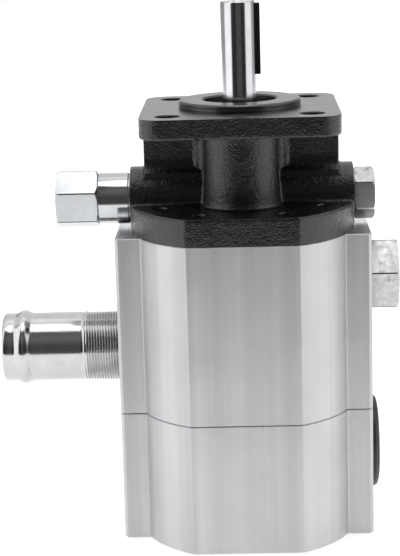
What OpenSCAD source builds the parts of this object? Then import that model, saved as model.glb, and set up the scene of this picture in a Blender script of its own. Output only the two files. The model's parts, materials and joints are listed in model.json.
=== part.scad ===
/* [Drive shaft] */
// Diameter of the keyed drive shaft
shaft_d = 12.7; // [12.6:0.05:12.8]
// Reach of the drive shaft past the mounting face
shaft_reach = 38.1; // [34:0.1:44]
// Side of the square shaft key
key_w = 3.2; // [3:0.1:3.4]
// Length of the shaft key
key_len = 25.6; // [20:0.1:27]
// Diameter of both shafts where they run in bushings
journal_d = 15; // [15:0.1:15.2]

/* [Mounting flange] */
// Side of the square mounting flange
flange_w = 71.2; // [68:0.1:74]
// Thickness of the mounting flange
flange_t = 7.4; // [6.5:0.1:8.5]
// Radius of the flange corners
flange_corner_r = 8; // [6:0.5:9]
// Side of the square that the four mounting holes lie on
bolt_square = 50.8; // [50:0.1:52]
// Diameter of the mounting holes
bolt_hole_d = 8.7; // [8:0.1:9]
// Diameter of the locating pilot
pilot_d = 44.45; // [44:0.05:45]
// Height of the locating pilot
pilot_h = 2.9; // [2.2:0.1:3.4]

/* [Cover] */
// Height where the cover plate's top face lies
plate_top_z = -36.3; // [-36.8:0.1:-35.8]
// Height of the joint between the cover and the housings
joint_z = -46.5; // [-47:0.1:-46]
// Radius of the cross-bore boss
boss_r = 11.9; // [11.5:0.1:12.2]

/* [Housings] */
// Height of the joint between the two housings
seam_z = -113; // [-113.5:0.1:-112.5]
// Height of the base face
base_z = -162; // [-166:0.5:-160]
// Radius of the rounded sides of the housings
side_r = 41.34; // [41:0.02:41.6]
// Depth of the front flat in front of the shaft axis
front_y = 28.9; // [28.4:0.1:29.4]
// Half width of the housings across the port pads
pad_x = 47; // [46.5:0.1:48]
// Depth of the port pads' front edge in front of the shaft axis
pad_y = 10.3; // [9.8:0.1:10.8]

/* [Gears] */
// Gear module
gear_m = 3; // [3:3]
// Teeth on each gear
gear_n = 11; // [11:11]
// Pressure angle in degrees
gear_pa = 28; // [27:0.5:28.5]
// Thinning of each tooth for backlash
gear_backlash = 0.1; // [0.08:0.01:0.16]
// Face width of the first stage gears
first_face = 20; // [18:0.1:20]
// Face width of the second stage gears
second_face = 5.1; // [4.6:0.1:5.1]

/* [Hidden] */
$fn = 96;
e = 0.05;

// centre distance of the gears, and the plane midway between them
cd = gear_m * gear_n;
my = cd / 2;
tip_r = gear_m * (gear_n + 2) / 2;
pocket_r = tip_r + 0.06;
jr = journal_d / 2;
bush_in = jr + 0.05;
bush_out = jr + 1.5;
arc_y = 7.13;
// axis of the unloading valve's cross-bore
by = 14;
cz = -35.45;
// port heights
check_z = -67.4;
inlet_z = -93.3;
outlet_z = -133.5;
// the four bolts at the front; four more mirror them at the back
BOLTS = [[15.9, -21], [-15.9, -21], [30.1, -5.7], [-30.1, -5.7],
  [15.9, cd + 21], [-15.9, cd + 21], [30.1, cd + 5.7], [-30.1, cd + 5.7]];
bolt_r = 3.175;
DOWELS = [[38, 0], [-38, cd]];
// stack heights inside the housings
block1_b = -64.5;
gear1_b = block1_b - 0.15 - first_face;
pocket1_b = -86.5;
plate2_b = seam_z - 2;
gear2_b = plate2_b - 0.15 - second_face;
block2_t = -120.4;
pocket2_b = -139;

// ---- helpers -------------------------------------------------------
module rev_x(pts, y = my, z = 0) {
  translate([0, y, z]) rotate([0, 90, 0]) rotate_extrude() polygon(pts);
}
module cyl_x(r, x0, x1, y = my, z = 0) {
  translate([x0, y, z]) rotate([0, 90, 0]) cylinder(r = r, h = x1 - x0);
}
module cyl_z(r, z0, z1, x = 0, y = 0) {
  translate([x, y, z0]) cylinder(r = r, h = z1 - z0);
}
module ring_z(ro, ri, z0, z1, x = 0, y = 0) {
  difference() {
    cyl_z(ro, z0, z1, x, y);
    cyl_z(ri, z0 - 1, z1 + 1, x, y);
  }
}
// hexagon along X with a corner at angle a above the -Y direction
module hex_x(af, x0, x1, a, y = my, z = 0) {
  translate([x0, y, z]) rotate([270 - a, 0, 0]) rotate([0, 90, 0])
    cylinder(r = af / 2 / cos(30), h = x1 - x0, $fn = 6);
}
module eight(r, z0, z1) {
  cyl_z(r, z0, z1, 0, 0);
  cyl_z(r, z0, z1, 0, cd);
}
module pair_bores(r, z0, z1) {
  cyl_z(r, z0, z1, 0, 0);
  cyl_z(r, z0, z1, 0, cd);
}
// rounded core shared by the cover plate and both housings
module core(z0, z1) {
  intersection() {
    union() {
      cyl_z(side_r, z0, z1, 0, arc_y);
      cyl_z(side_r, z0, z1, 0, cd - arc_y);
      translate([-side_r, arc_y, z0]) cube([2 * side_r, cd - 2 * arc_y, z1 - z0]);
    }
    translate([-60, -front_y, z0 - 1]) cube([120, cd + 2 * front_y, z1 - z0 + 2]);
  }
}
module pads(z0, z1) {
  translate([-pad_x, -pad_y, z0]) cube([2 * pad_x, cd + 2 * pad_y, z1 - z0]);
}
// round coil along X
function coil_c(r, x0, x1, n, i, t) = [x0 + (x1 - x0) * i / n, r * cos(360 * t * i / n), r * sin(360 * t * i / n)];
function coil_p(r, w, x0, x1, n, t) = [for (i = [0:n]) for (j = [0:7])
  let (c = coil_c(r, x0, x1, n, i, t), a = 360 * t * i / n, u = [0, cos(a), sin(a)])
  c + w * (cos(45 * j) * u + sin(45 * j) * [1, 0, 0])];
module coil_x(r, w, x0, x1, t, y, z) {
  n = 14 * t;
  translate([0, y, z]) polyhedron(points = coil_p(r, w, x0 + w, x1 - w, n, t),
    faces = concat(
      [[for (j = [0:7]) j]],
      [for (i = [0:n - 1]) for (j = [0:7]) [i * 8 + j, (i + 1) * 8 + j, (i + 1) * 8 + (j + 1) % 8]],
      [for (i = [0:n - 1]) for (j = [0:7]) [i * 8 + j, (i + 1) * 8 + (j + 1) % 8, i * 8 + (j + 1) % 8]],
      [[for (j = [7:-1:0]) n * 8 + j]]), convexity = 10);
}
// involute spur gear with one tooth towards +Y
function inv_deg(a) = tan(a) * 180 / PI - a;
gear_r = gear_m * gear_n / 2;
gear_rb = gear_r * cos(gear_pa);
gear_root = gear_r - 1.25 * gear_m;
function half_deg(r) = 90 / gear_n + inv_deg(gear_pa) - inv_deg(acos(min(1, gear_rb / r)))
  - gear_backlash / 2 / gear_r * 180 / PI;
function pol(r, a) = [r * cos(a), r * sin(a)];
function tooth(c) = let (rs = [for (i = [0:6]) gear_rb + (tip_r - gear_rb) * i / 6]) concat(
  [pol(gear_root, c - 180 / gear_n + 3), pol(gear_root, c - half_deg(gear_rb) - 1.5), pol(gear_root + 0.6, c - half_deg(gear_rb))],
  [for (i = [0:6]) pol(rs[i], c - half_deg(rs[i]))],
  [for (i = [6:-1:0]) pol(rs[i], c + half_deg(rs[i]))],
  [pol(gear_root + 0.6, c + half_deg(gear_rb)), pol(gear_root, c + half_deg(gear_rb) + 1.5), pol(gear_root, c + 180 / gear_n - 3)]);
module spur_gear(z0, h, y) {
  difference() {
    translate([0, y, z0]) linear_extrude(height = h)
      polygon([for (i = [0:gear_n - 1]) for (p = tooth(90 + i * 360 / gear_n)) p]);
    cyl_z(jr, z0 - 1, z0 + h + 1, 0, y);
    translate([jr - 2.2, y - 2, z0 - 1]) cube([4.2, 4, h + 2]);
  }
}
module gear_key(z0, h, y) {
  translate([jr - 2.2, y - 2, z0]) cube([4.2, 4, h]);
}
module bushing(z0, z1, y) {
  ring_z(bush_out, bush_in, z0, z1, 0, y);
}

// ---- front cover and shaft seal -------------------------------------
module neck() {
  rotate_extrude() polygon([[0, -flange_t + 0.5], [15.6, -flange_t + 0.5], [15.6, -flange_t], [14.9, -7.9], [14.2, -8.8], [13.8, -10.5], [13.7, -13],
    [13.8, -22], [14.1, -30], [14.4, -34], [14.8, -35.5], [15.6, plate_top_z], [15.6, plate_top_z - 0.5], [0, plate_top_z - 0.5]]);
}
module flange() {
  w = flange_w / 2;
  c = flange_corner_r;
  translate([0, 0, -flange_t]) linear_extrude(height = flange_t) union() {
    square([2 * w - 2 * c, 2 * w], center = true);
    square([2 * w, 2 * w - 2 * c], center = true);
    for (sx = [-1, 1]) for (sy = [-1, 1]) translate([sx * (w - c), sy * (w - c)]) circle(r = c);
  }
}
module front_cover() {
  color([0.13, 0.13, 0.135]) difference() {
    union() {
      flange();
      cyl_z(pilot_d / 2, -1, pilot_h);
      neck();
      core(joint_z, plate_top_z);
      // valve boss, its underside cut level with the joint face
      intersection() {
        cyl_x(boss_r, -41.5, 41.5, by - 0.7, cz);
        translate([-42, 0, joint_z]) cube([84, 30, 40]);
      }
      // web between the flange and the boss, with fillets against the neck
      translate([-36.3, 8, cz]) cube([72.6, 9.5, -flange_t - cz + 0.5]);
      difference() {
        translate([-17, 3.4, cz]) cube([34, 5.2, -flange_t - cz + 0.5]);
        for (s = [-1, 1]) translate([s * 17, 3.4, cz - 1]) cylinder(r = 3.6, h = 40);
      }
    }
    // seal pocket, ring groove and bushing bore
    cyl_z(13.5, -6.4, pilot_h + 1);
    cyl_z(14.3, -2.2, -0.85);
    cyl_z(8.1, joint_z - 1, -6);
    cyl_z(bush_out, -27, -12);
    // mounting holes
    for (sx = [-1, 1]) for (sy = [-1, 1])
      cyl_z(bolt_hole_d / 2, -flange_t - 1, 1, sx * bolt_square / 2, sy * bolt_square / 2);
    // housing bolt threads and their drilled ends
    for (b = BOLTS) {
      cyl_z(bolt_r, joint_z - 1, -38.5, b[0], b[1]);
      cyl_z(2.6, -39, plate_top_z + 1, b[0], b[1]);
    }
    for (d = DOWELS) cyl_z(2.5, joint_z - 1, joint_z + 6.2, d[0], d[1]);
    // unloading valve bore, its two threaded mouths and its passages
    cyl_x(4.5, -30, 30, by, cz);
    cyl_x(7.9, -42.5, -28, by, cz);
    cyl_x(6.9, 28, 42.5, by, cz);
    for (s = [-1, 1]) cyl_z(2.5, joint_z - 1, cz, s * 24, my);
  }
}
module shaft_seal() {
  color([0.1, 0.1, 0.1]) rotate_extrude() polygon([[13.45, -6.2], [13.45, -2.3], [10.6, -2.3], [10.2, -2.8], [8.6, -3.3], [jr + 0.05, -4],
    [jr + 0.05, -4.6], [8.6, -5.4], [9.4, -5.4], [9.7, -3.6], [12.2, -3.4], [12.2, -6.2]]);
}
module seal_retaining_ring() {
  color([0.35, 0.35, 0.36]) difference() {
    ring_z(14.2, 11.8, -2.1, -0.95);
    translate([-3, -16, -3]) cube([6, 8, 3]);
  }
}
module front_bushing() {
  color([0.72, 0.52, 0.3]) bushing(-27, -12, 0);
}

// ---- shafts and gears -----------------------------------------------
module drive_shaft() {
  r = shaft_d / 2;
  color([0.75, 0.76, 0.78]) difference() {
    rotate_extrude() polygon([[0, -137], [jr - 0.8, -137], [jr, -136.2], [jr, -2.3], [r, -1.3], [r, shaft_reach - 0.9], [r - 0.9, shaft_reach], [0, shaft_reach]]);
    // open keyway
    translate([4.7, -key_w / 2, shaft_reach - 1 - key_len]) cube([5, key_w, key_len + 2]);
    // gear keyways
    gear_key(gear1_b + 1, first_face - 2, 0);
    gear_key(gear2_b + 0.3, second_face - 0.6, 0);
    // centre drill
    translate([0, 0, shaft_reach - 2.2]) cylinder(r1 = 0.3, r2 = 1.6, h = 2.3);
  }
}
module shaft_key() {
  color([0.08, 0.08, 0.08]) translate([4.7, -key_w / 2, shaft_reach - 1 - key_len]) cube([key_w, key_w, key_len]);
}
module first_stage_drive_gear() {
  color([0.6, 0.61, 0.63]) spur_gear(gear1_b, first_face, 0);
}
module second_stage_drive_gear() {
  color([0.6, 0.61, 0.63]) spur_gear(gear2_b, second_face, 0);
}
module drive_gear_keys() {
  color([0.3, 0.3, 0.3]) { gear_key(gear1_b + 1, first_face - 2, 0); gear_key(gear2_b + 0.3, second_face - 0.6, 0); }
}
module idler_shaft() {
  color([0.7, 0.71, 0.73]) difference() {
    translate([0, cd, 0]) rotate_extrude() polygon([[0, -137], [jr - 0.8, -137], [jr, -136.2], [jr, -48.8], [jr - 0.8, -48], [0, -48]]);
    gear_key(gear1_b + 1, first_face - 2, cd);
    gear_key(gear2_b + 0.3, second_face - 0.6, cd);
  }
}
module first_stage_driven_gear() {
  color([0.6, 0.61, 0.63]) spur_gear(gear1_b, first_face, cd);
}
module second_stage_driven_gear() {
  color([0.6, 0.61, 0.63]) spur_gear(gear2_b, second_face, cd);
}
module driven_gear_keys() {
  color([0.3, 0.3, 0.3]) { gear_key(gear1_b + 1, first_face - 2, cd); gear_key(gear2_b + 0.3, second_face - 0.6, cd); }
}

// ---- bearing blocks, bushings and wear plates -------------------------
module bearing_block(z0, z1) {
  difference() {
    eight(tip_r, z0, z1);
    pair_bores(bush_out, z0 - 1, z1 + 1);
  }
}
module wear_plate(z0, z1) {
  difference() {
    eight(tip_r, z0, z1);
    pair_bores(jr + 0.3, z0 - 1, z1 + 1);
  }
}
module front_bearing_block() { color([0.66, 0.67, 0.68]) bearing_block(block1_b, joint_z - 0.1); }
module first_stage_bushings() { color([0.72, 0.52, 0.3]) { bushing(block1_b + 0.1, joint_z - 0.3, 0); bushing(block1_b + 0.1, joint_z - 0.3, cd); } }
module first_stage_wear_plate() { color([0.7, 0.5, 0.25]) wear_plate(pocket1_b + 0.05, pocket1_b + 1.7); }
module middle_bushings() { color([0.72, 0.52, 0.3]) { bushing(seam_z + 0.2, pocket1_b - 0.2, 0); bushing(seam_z + 0.2, pocket1_b - 0.2, cd); } }
module second_stage_wear_plate() { color([0.7, 0.5, 0.25]) wear_plate(plate2_b, seam_z - 0.1); }
module rear_bearing_block() { color([0.66, 0.67, 0.68]) bearing_block(pocket2_b + 0.1, block2_t); }
module rear_bushings() { color([0.72, 0.52, 0.3]) { bushing(pocket2_b + 0.3, block2_t - 0.1, 0); bushing(pocket2_b + 0.3, block2_t - 0.1, cd); } }

// ---- housings ---------------------------------------------------------
module seal_loop(z0, z1, g) {
  difference() {
    eight(22.4 + g, z0, z1);
    eight(20.6 - g, z0 - 1, z1 + 1);
  }
}
module upper_housing() {
  color([0.72, 0.73, 0.75]) difference() {
    union() { core(seam_z, joint_z); pads(seam_z, joint_z); }
    eight(pocket_r, pocket1_b, joint_z + 1);
    pair_bores(bush_out, seam_z - 1, pocket1_b + 1);
    for (b = BOLTS) cyl_z(3.4, seam_z - 1, joint_z + 1, b[0], b[1]);
    for (d = DOWELS) { cyl_z(2.5, joint_z - 6.2, joint_z + 1, d[0], d[1]); cyl_z(2.5, seam_z - 1, seam_z + 6.2, d[0], d[1]); }
    // seal grooves in the top face
    seal_loop(joint_z - 1.6, joint_z + 1, 0);
    for (s = [-1, 1]) ring_z(4.9, 3.3, joint_z - 1.6, joint_z + 1, s * 24, my);
    // inlet port and suction gallery
    cyl_x(13.35, -pad_x - 1, -33, my, inlet_z);
    cyl_x(10.5, -34, -20, my, inlet_z);
    cyl_z(4.5, seam_z - 1, -74.6, -24, my);
    cyl_x(4.5, -24, -8, my, -74.6);
    cyl_z(2.5, -80, joint_z + 1, -24, my);
    // check valve port, its seat and the discharge gallery
    cyl_x(9.5, 22, pad_x + 1, my, check_z);
    cyl_x(3.5, 8, 23, my, check_z);
    cyl_z(2.5, check_z, joint_z + 1, 24, my);
    cyl_z(3.2, seam_z - 1, check_z, 26.5, my);
  }
}
module lower_housing() {
  color([0.72, 0.73, 0.75]) difference() {
    union() { core(base_z, seam_z); pads(base_z, seam_z); }
    eight(pocket_r, pocket2_b, seam_z + 1);
    for (b = BOLTS) { cyl_z(3.4, base_z - 1, seam_z + 1, b[0], b[1]); cyl_z(5.2, base_z - 1, base_z + 7.5, b[0], b[1]); }
    for (d = DOWELS) cyl_z(2.5, seam_z - 6.2, seam_z + 1, d[0], d[1]);
    seal_loop(seam_z - 1.6, seam_z + 1, 0);
    ring_z(6.4, 5, seam_z - 1.6, seam_z + 1, -24, my);
    ring_z(5.4, 3.9, seam_z - 1.6, seam_z + 1, 26.5, my);
    // suction gallery
    cyl_z(4.5, -119, seam_z + 1, -24, my);
    cyl_x(2.3, -24, -8, my, -117.7);
    // outlet port and discharge gallery
    cyl_x(10.4, 24, pad_x + 1, my, outlet_z);
    cyl_z(3.2, outlet_z, seam_z + 1, 26.5, my);
    cyl_x(2.3, 8, 26, my, -117.7);
  }
}
module body_seals() {
  color([0.06, 0.06, 0.06]) { seal_loop(joint_z - 1.55, joint_z - 0.05, -0.1); seal_loop(seam_z - 1.55, seam_z - 0.05, -0.1); }
}
module passage_seals() {
  color([0.06, 0.06, 0.06]) {
    for (s = [-1, 1]) ring_z(4.8, 3.4, joint_z - 1.55, joint_z - 0.05, s * 24, my);
    ring_z(6.3, 5.1, seam_z - 1.55, seam_z - 0.05, -24, my);
    ring_z(5.3, 4, seam_z - 1.55, seam_z - 0.05, 26.5, my);
  }
}
module dowel_pins() {
  color([0.5, 0.5, 0.52]) for (d = DOWELS) for (z = [joint_z, seam_z]) cyl_z(2.5, z - 6, z + 6, d[0], d[1]);
}
module housing_bolts() {
  color([0.1, 0.1, 0.11]) for (b = BOLTS) difference() {
    union() {
      cyl_z(bolt_r, base_z + 7, -38.7, b[0], b[1]);
      cyl_z(4.76, base_z + 1.15, base_z + 7.5, b[0], b[1]);
    }
    translate([b[0], b[1], base_z]) cylinder(r = 2.8, h = 4.4, $fn = 6);
  }
}

// ---- unloading valve in the cover's cross-bore ------------------------
module unloader_plug() {
  color([0.8, 0.82, 0.84]) rev_x([[3, -60.5], [6.5, -60.5], [7, -60], [7, -54], [9.2, -54], [9.65, -53.5], [9.65, -42], [7.9, -42], [7.9, -28.3],
    [4.6, -28.3], [4.6, -46], [3, -46]], by, cz);
}
module unloader_plug_seal() {
  color([0.5, 0.36, 0.24]) rev_x([[7.95, -42], [9.3, -42], [9.3, -41.5], [7.95, -41.5]], by, cz);
}
module unloader_cap() {
  color([0.8, 0.82, 0.84]) difference() {
    intersection() {
      hex_x(19.5, -69.5, -54, 19.5, by, cz);
      rev_x([[0, -69.5], [9.9, -69.5], [10.8, -68.8], [11.2, -67.8], [11.4, -67], [11.4, -55.2], [10, -54], [0, -54]], by, cz);
    }
    cyl_x(7.05, -61, -53, by, cz);
    cyl_x(6.2, -67.3, -60, by, cz);
  }
}
module adjusting_screw() {
  color([0.45, 0.45, 0.47]) difference() {
    cyl_x(3, -66, -43, by, cz);
    translate([-67, by - 0.5, cz - 4]) cube([2.6, 1, 8]);
  }
}
module lock_nut() {
  color([0.7, 0.7, 0.72]) difference() {
    hex_x(10, -64.4, -60.5, 17, by, cz);
    cyl_x(3, -66, -60, by, cz);
  }
}
module spring_seat() {
  color([0.5, 0.5, 0.52]) rev_x([[0, -43], [4.4, -43], [4.4, -41.5], [2.2, -41.5], [2.2, -38], [0, -38]], by, cz);
}
module unloader_spring() {
  color([0.4, 0.4, 0.42]) coil_x(3.3, 0.6, -41.4, -20.1, 7, by, cz);
}
module unloader_spool() {
  color([0.65, 0.66, 0.68]) rev_x([[0, -20], [4.2, -20], [4.46, -19.7], [4.46, -8], [2.8, -7], [2.8, 6], [4.46, 7], [4.46, 21.3], [4.2, 21.6], [0, 21.6]], by, cz);
}
module crossbore_plug() {
  color([0.68, 0.69, 0.68]) {
    intersection() {
      hex_x(17.2, 42, 49.4, 32, by, cz);
      rev_x([[0, 42], [9.2, 42], [9.95, 42.7], [9.95, 48.4], [8.3, 49.4], [0, 49.4]], by, cz);
    }
    rev_x([[0, 22], [3, 22], [3, 29], [6.9, 29], [6.9, 42], [0, 42]], by, cz);
  }
}
module crossbore_plug_seal() {
  color([0.5, 0.36, 0.24]) rev_x([[6.95, 41.5], [8.4, 41.5], [8.4, 42], [6.95, 42]], by, cz);
}

// ---- check valve in the upper housing ----------------------------------
module check_valve_plug() {
  color([0.7, 0.71, 0.7]) difference() {
    union() {
      intersection() {
        hex_x(25.4, 47.5, 58.2, 12.6, my, check_z);
        rev_x([[0, 47.5], [13.3, 47.5], [14.3, 48.1], [14.7, 48.6], [14.7, 56.9], [12.9, 58.2], [0, 58.2]], my, check_z);
      }
      cyl_x(9.5, 30, 48, my, check_z);
    }
    cyl_x(5.05, 29, 50, my, check_z);
  }
}
module check_valve_seal() {
  color([0.5, 0.36, 0.24]) rev_x([[9.55, 47], [11.6, 47], [11.6, 47.5], [9.55, 47.5]], my, check_z);
}
module check_valve_spring() {
  color([0.4, 0.4, 0.42]) coil_x(2.8, 0.5, 28.1, 49.9, 7, my, check_z);
}
module check_valve_poppet() {
  color([0.6, 0.6, 0.62]) rev_x([[0, 22.3], [2.8, 22.3], [5, 25], [5, 36], [3.5, 36], [3.5, 28], [0, 28]], my, check_z);
}

// ---- ports -------------------------------------------------------------
function bead(n) = [for (i = [0:n]) [13.2 + 1.1 * sin(180 * i / n), -87.6 + 5.8 * i / n]];
module inlet_tube() {
  color([0.82, 0.84, 0.86]) rev_x(concat([[11.2, -92.3], [11.8, -92.5], [12.5, -92.5], [13, -92.1], [13.2, -91.5]], bead(12),
    [[13.2, -61.2], [13.35, -61], [13.35, -34], [11.2, -34]]), my, inlet_z);
}
module outlet_port_cap() {
  color([0.07, 0.07, 0.075]) rev_x([[0, 48.3], [8.9, 48.3], [8.9, 38], [10.32, 38], [10.32, 47.4], [17.2, 47.4], [17.75, 47.9], [17.75, 48.7], [16.6, 50.1], [14.5, 50.5], [0, 50.5]], my, outlet_z);
}

front_cover();
shaft_seal();
seal_retaining_ring();
front_bushing();
drive_shaft();
shaft_key();
first_stage_drive_gear();
second_stage_drive_gear();
drive_gear_keys();
idler_shaft();
first_stage_driven_gear();
second_stage_driven_gear();
driven_gear_keys();
front_bearing_block();
first_stage_bushings();
first_stage_wear_plate();
middle_bushings();
second_stage_wear_plate();
rear_bearing_block();
rear_bushings();
upper_housing();
lower_housing();
body_seals();
passage_seals();
dowel_pins();
housing_bolts();
unloader_plug();
unloader_plug_seal();
unloader_cap();
adjusting_screw();
lock_nut();
spring_seat();
unloader_spring();
unloader_spool();
crossbore_plug();
crossbore_plug_seal();
check_valve_plug();
check_valve_seal();
check_valve_spring();
check_valve_poppet();
inlet_tube();
outlet_port_cap();
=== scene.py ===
import bpy, bmesh, json, math
from mathutils import Vector, Matrix, noise


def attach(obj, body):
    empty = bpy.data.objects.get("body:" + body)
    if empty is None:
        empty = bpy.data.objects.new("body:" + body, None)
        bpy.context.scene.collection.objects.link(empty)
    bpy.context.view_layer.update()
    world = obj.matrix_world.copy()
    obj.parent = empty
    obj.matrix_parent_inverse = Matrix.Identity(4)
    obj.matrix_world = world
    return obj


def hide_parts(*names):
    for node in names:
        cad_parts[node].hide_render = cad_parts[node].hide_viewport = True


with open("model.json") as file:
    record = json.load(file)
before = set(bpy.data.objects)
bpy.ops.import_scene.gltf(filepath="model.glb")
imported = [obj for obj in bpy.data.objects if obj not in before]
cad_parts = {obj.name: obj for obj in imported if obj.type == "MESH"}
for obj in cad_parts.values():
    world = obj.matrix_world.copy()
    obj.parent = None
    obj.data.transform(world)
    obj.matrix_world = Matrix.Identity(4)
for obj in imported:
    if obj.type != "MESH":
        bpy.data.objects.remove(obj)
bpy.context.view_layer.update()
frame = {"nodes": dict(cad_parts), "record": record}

scene = bpy.context.scene

# The design's own numbers, in millimetres in the frame.
MY, BY, CZ = 16.5, 14.0, -35.45
CHECK_Z, INLET_Z, OUTLET_Z = -67.4, -93.3, -133.5
TOP, JOINT, SEAM, BASE = -36.3, -46.5, -113.0, -162.0
SIDE_R, ARC_Y, FRONT, PAD_X, PAD_Y, CD = 41.34, 7.13, 28.9, 47.0, 10.3, 33.0
BOLTS = [(sx * x, y) for sx in (1, -1) for x, y in ((15.9, -21.0), (30.1, -5.7), (15.9, 54.0), (30.1, 38.7))]
DOWELS = [(38, 0), (-38, 33)]

# ------------------------------------------------------------------ mesh kit


def new_obj(name, verts, faces):
    me = bpy.data.meshes.new(name)
    me.from_pydata(verts, [], faces)
    me.update()
    bm = bmesh.new()
    bm.from_mesh(me)
    bmesh.ops.recalc_face_normals(bm, faces=bm.faces)
    bm.to_mesh(me)
    bm.free()
    o = bpy.data.objects.new(name, me)
    scene.collection.objects.link(o)
    return o


def fillet(pts, n=5):
    """pts is a closed list of (a, b) or (a, b, radius); returns points with the corners rounded."""
    out = []
    m = len(pts)
    for i, p in enumerate(pts):
        r = p[2] if len(p) > 2 else 0
        if not r:
            out.append((p[0], p[1]))
            continue
        a, b, c = Vector(pts[i - 1][:2]), Vector(p[:2]), Vector(pts[(i + 1) % m][:2])
        u, v = (a - b), (c - b)
        lu, lv = u.length, v.length
        u.normalize()
        v.normalize()
        half = math.acos(max(-1, min(1, u.dot(v)))) / 2
        if abs(half - math.pi / 2) < 1e-3:
            out.append((p[0], p[1]))
            continue
        d = min(r / math.tan(half), lu * 0.49, lv * 0.49)
        rr = d * math.tan(half)
        mid = (u + v).normalized()
        cen = b + mid * (rr / math.sin(half))
        s, e = b + u * d - cen, b + v * d - cen
        a0, a1 = math.atan2(s.y, s.x), math.atan2(e.y, e.x)
        da = (a1 - a0 + math.pi) % (2 * math.pi) - math.pi
        for k in range(n + 1):
            t = a0 + da * k / n
            out.append((cen.x + rr * math.cos(t), cen.y + rr * math.sin(t)))
    return out


def lathe(name, prof, axis="Z", at=(0, 0, 0), seg=128, rfun=None):
    """prof is a closed outline of (radius, along) in mm, turned round an axis along Z or X."""
    verts, rows = [], []
    for r, a in prof:
        row = []
        n = 1 if r < 1e-6 else seg
        for k in range(n):
            t = 2 * math.pi * k / seg
            q = rfun(r, a, t) if rfun and n > 1 else r
            c, s = q * math.cos(t), q * math.sin(t)
            row.append(len(verts))
            verts.append((at[0] + c, at[1] + s, at[2] + a) if axis == "Z" else (at[0] + a, at[1] + c, at[2] + s))
        rows.append(row)
    faces = []
    for i in range(len(rows)):
        p, q = rows[i], rows[(i + 1) % len(rows)]
        if len(p) == 1 and len(q) == 1:
            continue
        for k in range(seg):
            j = (k + 1) % seg
            if len(p) == 1:
                faces.append((p[0], q[k], q[j]))
            elif len(q) == 1:
                faces.append((p[k], q[0], p[j]))
            else:
                faces.append((p[k], q[k], q[j], p[j]))
    return new_obj(name, verts, faces)


def cyl(r, a0, a1, axis="Z", at=(0, 0, 0), seg=64, ch=0.0):
    """A cylinder; ch adds a 45 degree chamfer that grows outwards at both ends, for cutting chamfered holes."""
    prof = [(0, a0), (r, a0), (r, a1), (0, a1)]
    if ch:
        prof = [(0, a0 - 2), (r + ch + 2, a0 - 2), (r, a0 + ch), (r, a1 - ch), (r + ch + 2, a1 + 2), (0, a1 + 2)]
    return lathe("c", prof, axis, at, seg)


def cube(x0, x1, y0, y1, z0, z1):
    v = [(x, y, z) for x in (x0, x1) for y in (y0, y1) for z in (z0, z1)]
    f = [(0, 1, 3, 2), (4, 6, 7, 5), (0, 4, 5, 1), (2, 3, 7, 6), (0, 2, 6, 4), (1, 5, 7, 3)]
    return new_obj("c", v, f)


def inset(poly, d):
    out = []
    m = len(poly)
    area = sum(poly[i - 1][0] * poly[i][1] - poly[i][0] * poly[i - 1][1] for i in range(m))
    sgn = 1 if area > 0 else -1
    for i in range(m):
        a, b, c = Vector(poly[i - 1]), Vector(poly[i]), Vector(poly[(i + 1) % m])
        u, v = (b - a).normalized(), (c - b).normalized()
        n1, n2 = Vector((-u.y, u.x)) * sgn, Vector((-v.y, v.x)) * sgn
        n = (n1 + n2).normalized()
        k = max(0.35, n.dot(n1))
        p = b + n * (d / k)
        out.append((p.x, p.y))
    return out


def prism(name, poly, levels):
    """poly is a closed (x, y) outline; levels are (z, inset) from the bottom up."""
    verts, m = [], len(poly)
    for z, d in levels:
        for x, y in (inset(poly, d) if d else poly):
            verts.append((x, y, z))
    faces = [tuple(range(m))]
    for L in range(len(levels) - 1):
        for i in range(m):
            j = (i + 1) % m
            faces.append((L * m + i, L * m + j, (L + 1) * m + j, (L + 1) * m + i))
    faces.append(tuple((len(levels) - 1) * m + i for i in range(m)))
    return new_obj(name, verts, faces)


def bake(o):
    dg = bpy.context.evaluated_depsgraph_get()
    dg.update()
    me = bpy.data.meshes.new_from_object(o.evaluated_get(dg))
    o.modifiers.clear()
    old = o.data
    o.data = me
    bpy.data.meshes.remove(old)
    return o


def boolean(o, cutters, op="DIFFERENCE"):
    for c in cutters:
        m = o.modifiers.new("b", "BOOLEAN")
        m.operation, m.object, m.solver = op, c, "MANIFOLD"
    bake(o)
    for c in cutters:
        me = c.data
        bpy.data.objects.remove(c)
        bpy.data.meshes.remove(me)
    return o


def bevel(o, w, seg=2, angle=28):
    m = o.modifiers.new("v", "BEVEL")
    m.width, m.segments, m.limit_method, m.angle_limit = w, seg, "ANGLE", math.radians(angle)
    m.use_clamp_overlap = True
    return bake(o)


def done(o, name, body, nodes, mats, angle=32, smooth=True):
    """Brings a piece from millimetres to metres, shades it, gives it its materials, attaches it to its body and hides
    the CAD nodes it replaces.
    """
    o.name = name
    o.data.name = name
    o.data.transform(Matrix.Scale(0.001, 4))
    if smooth:
        o.data.shade_smooth()
        o.data.set_sharp_from_angle(angle=math.radians(angle))
    o.data.materials.clear()
    for m in mats if isinstance(mats, (list, tuple)) else [mats]:
        o.data.materials.append(m)
    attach(o, body)
    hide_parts(*nodes)
    return o


def arc(cx, cy, r, a0, a1, n):
    return [(cx + r * math.cos(math.radians(a0 + (a1 - a0) * i / n)), cy + r * math.sin(math.radians(a0 + (a1 - a0) * i / n))) for i in range(n + 1)]


def hexpoly(af, a):
    R = af / 2 / math.cos(math.pi / 6)
    return [(-R * math.cos(math.radians(a + 60 * k)), R * math.sin(math.radians(a + 60 * k))) for k in range(6)]


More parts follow.
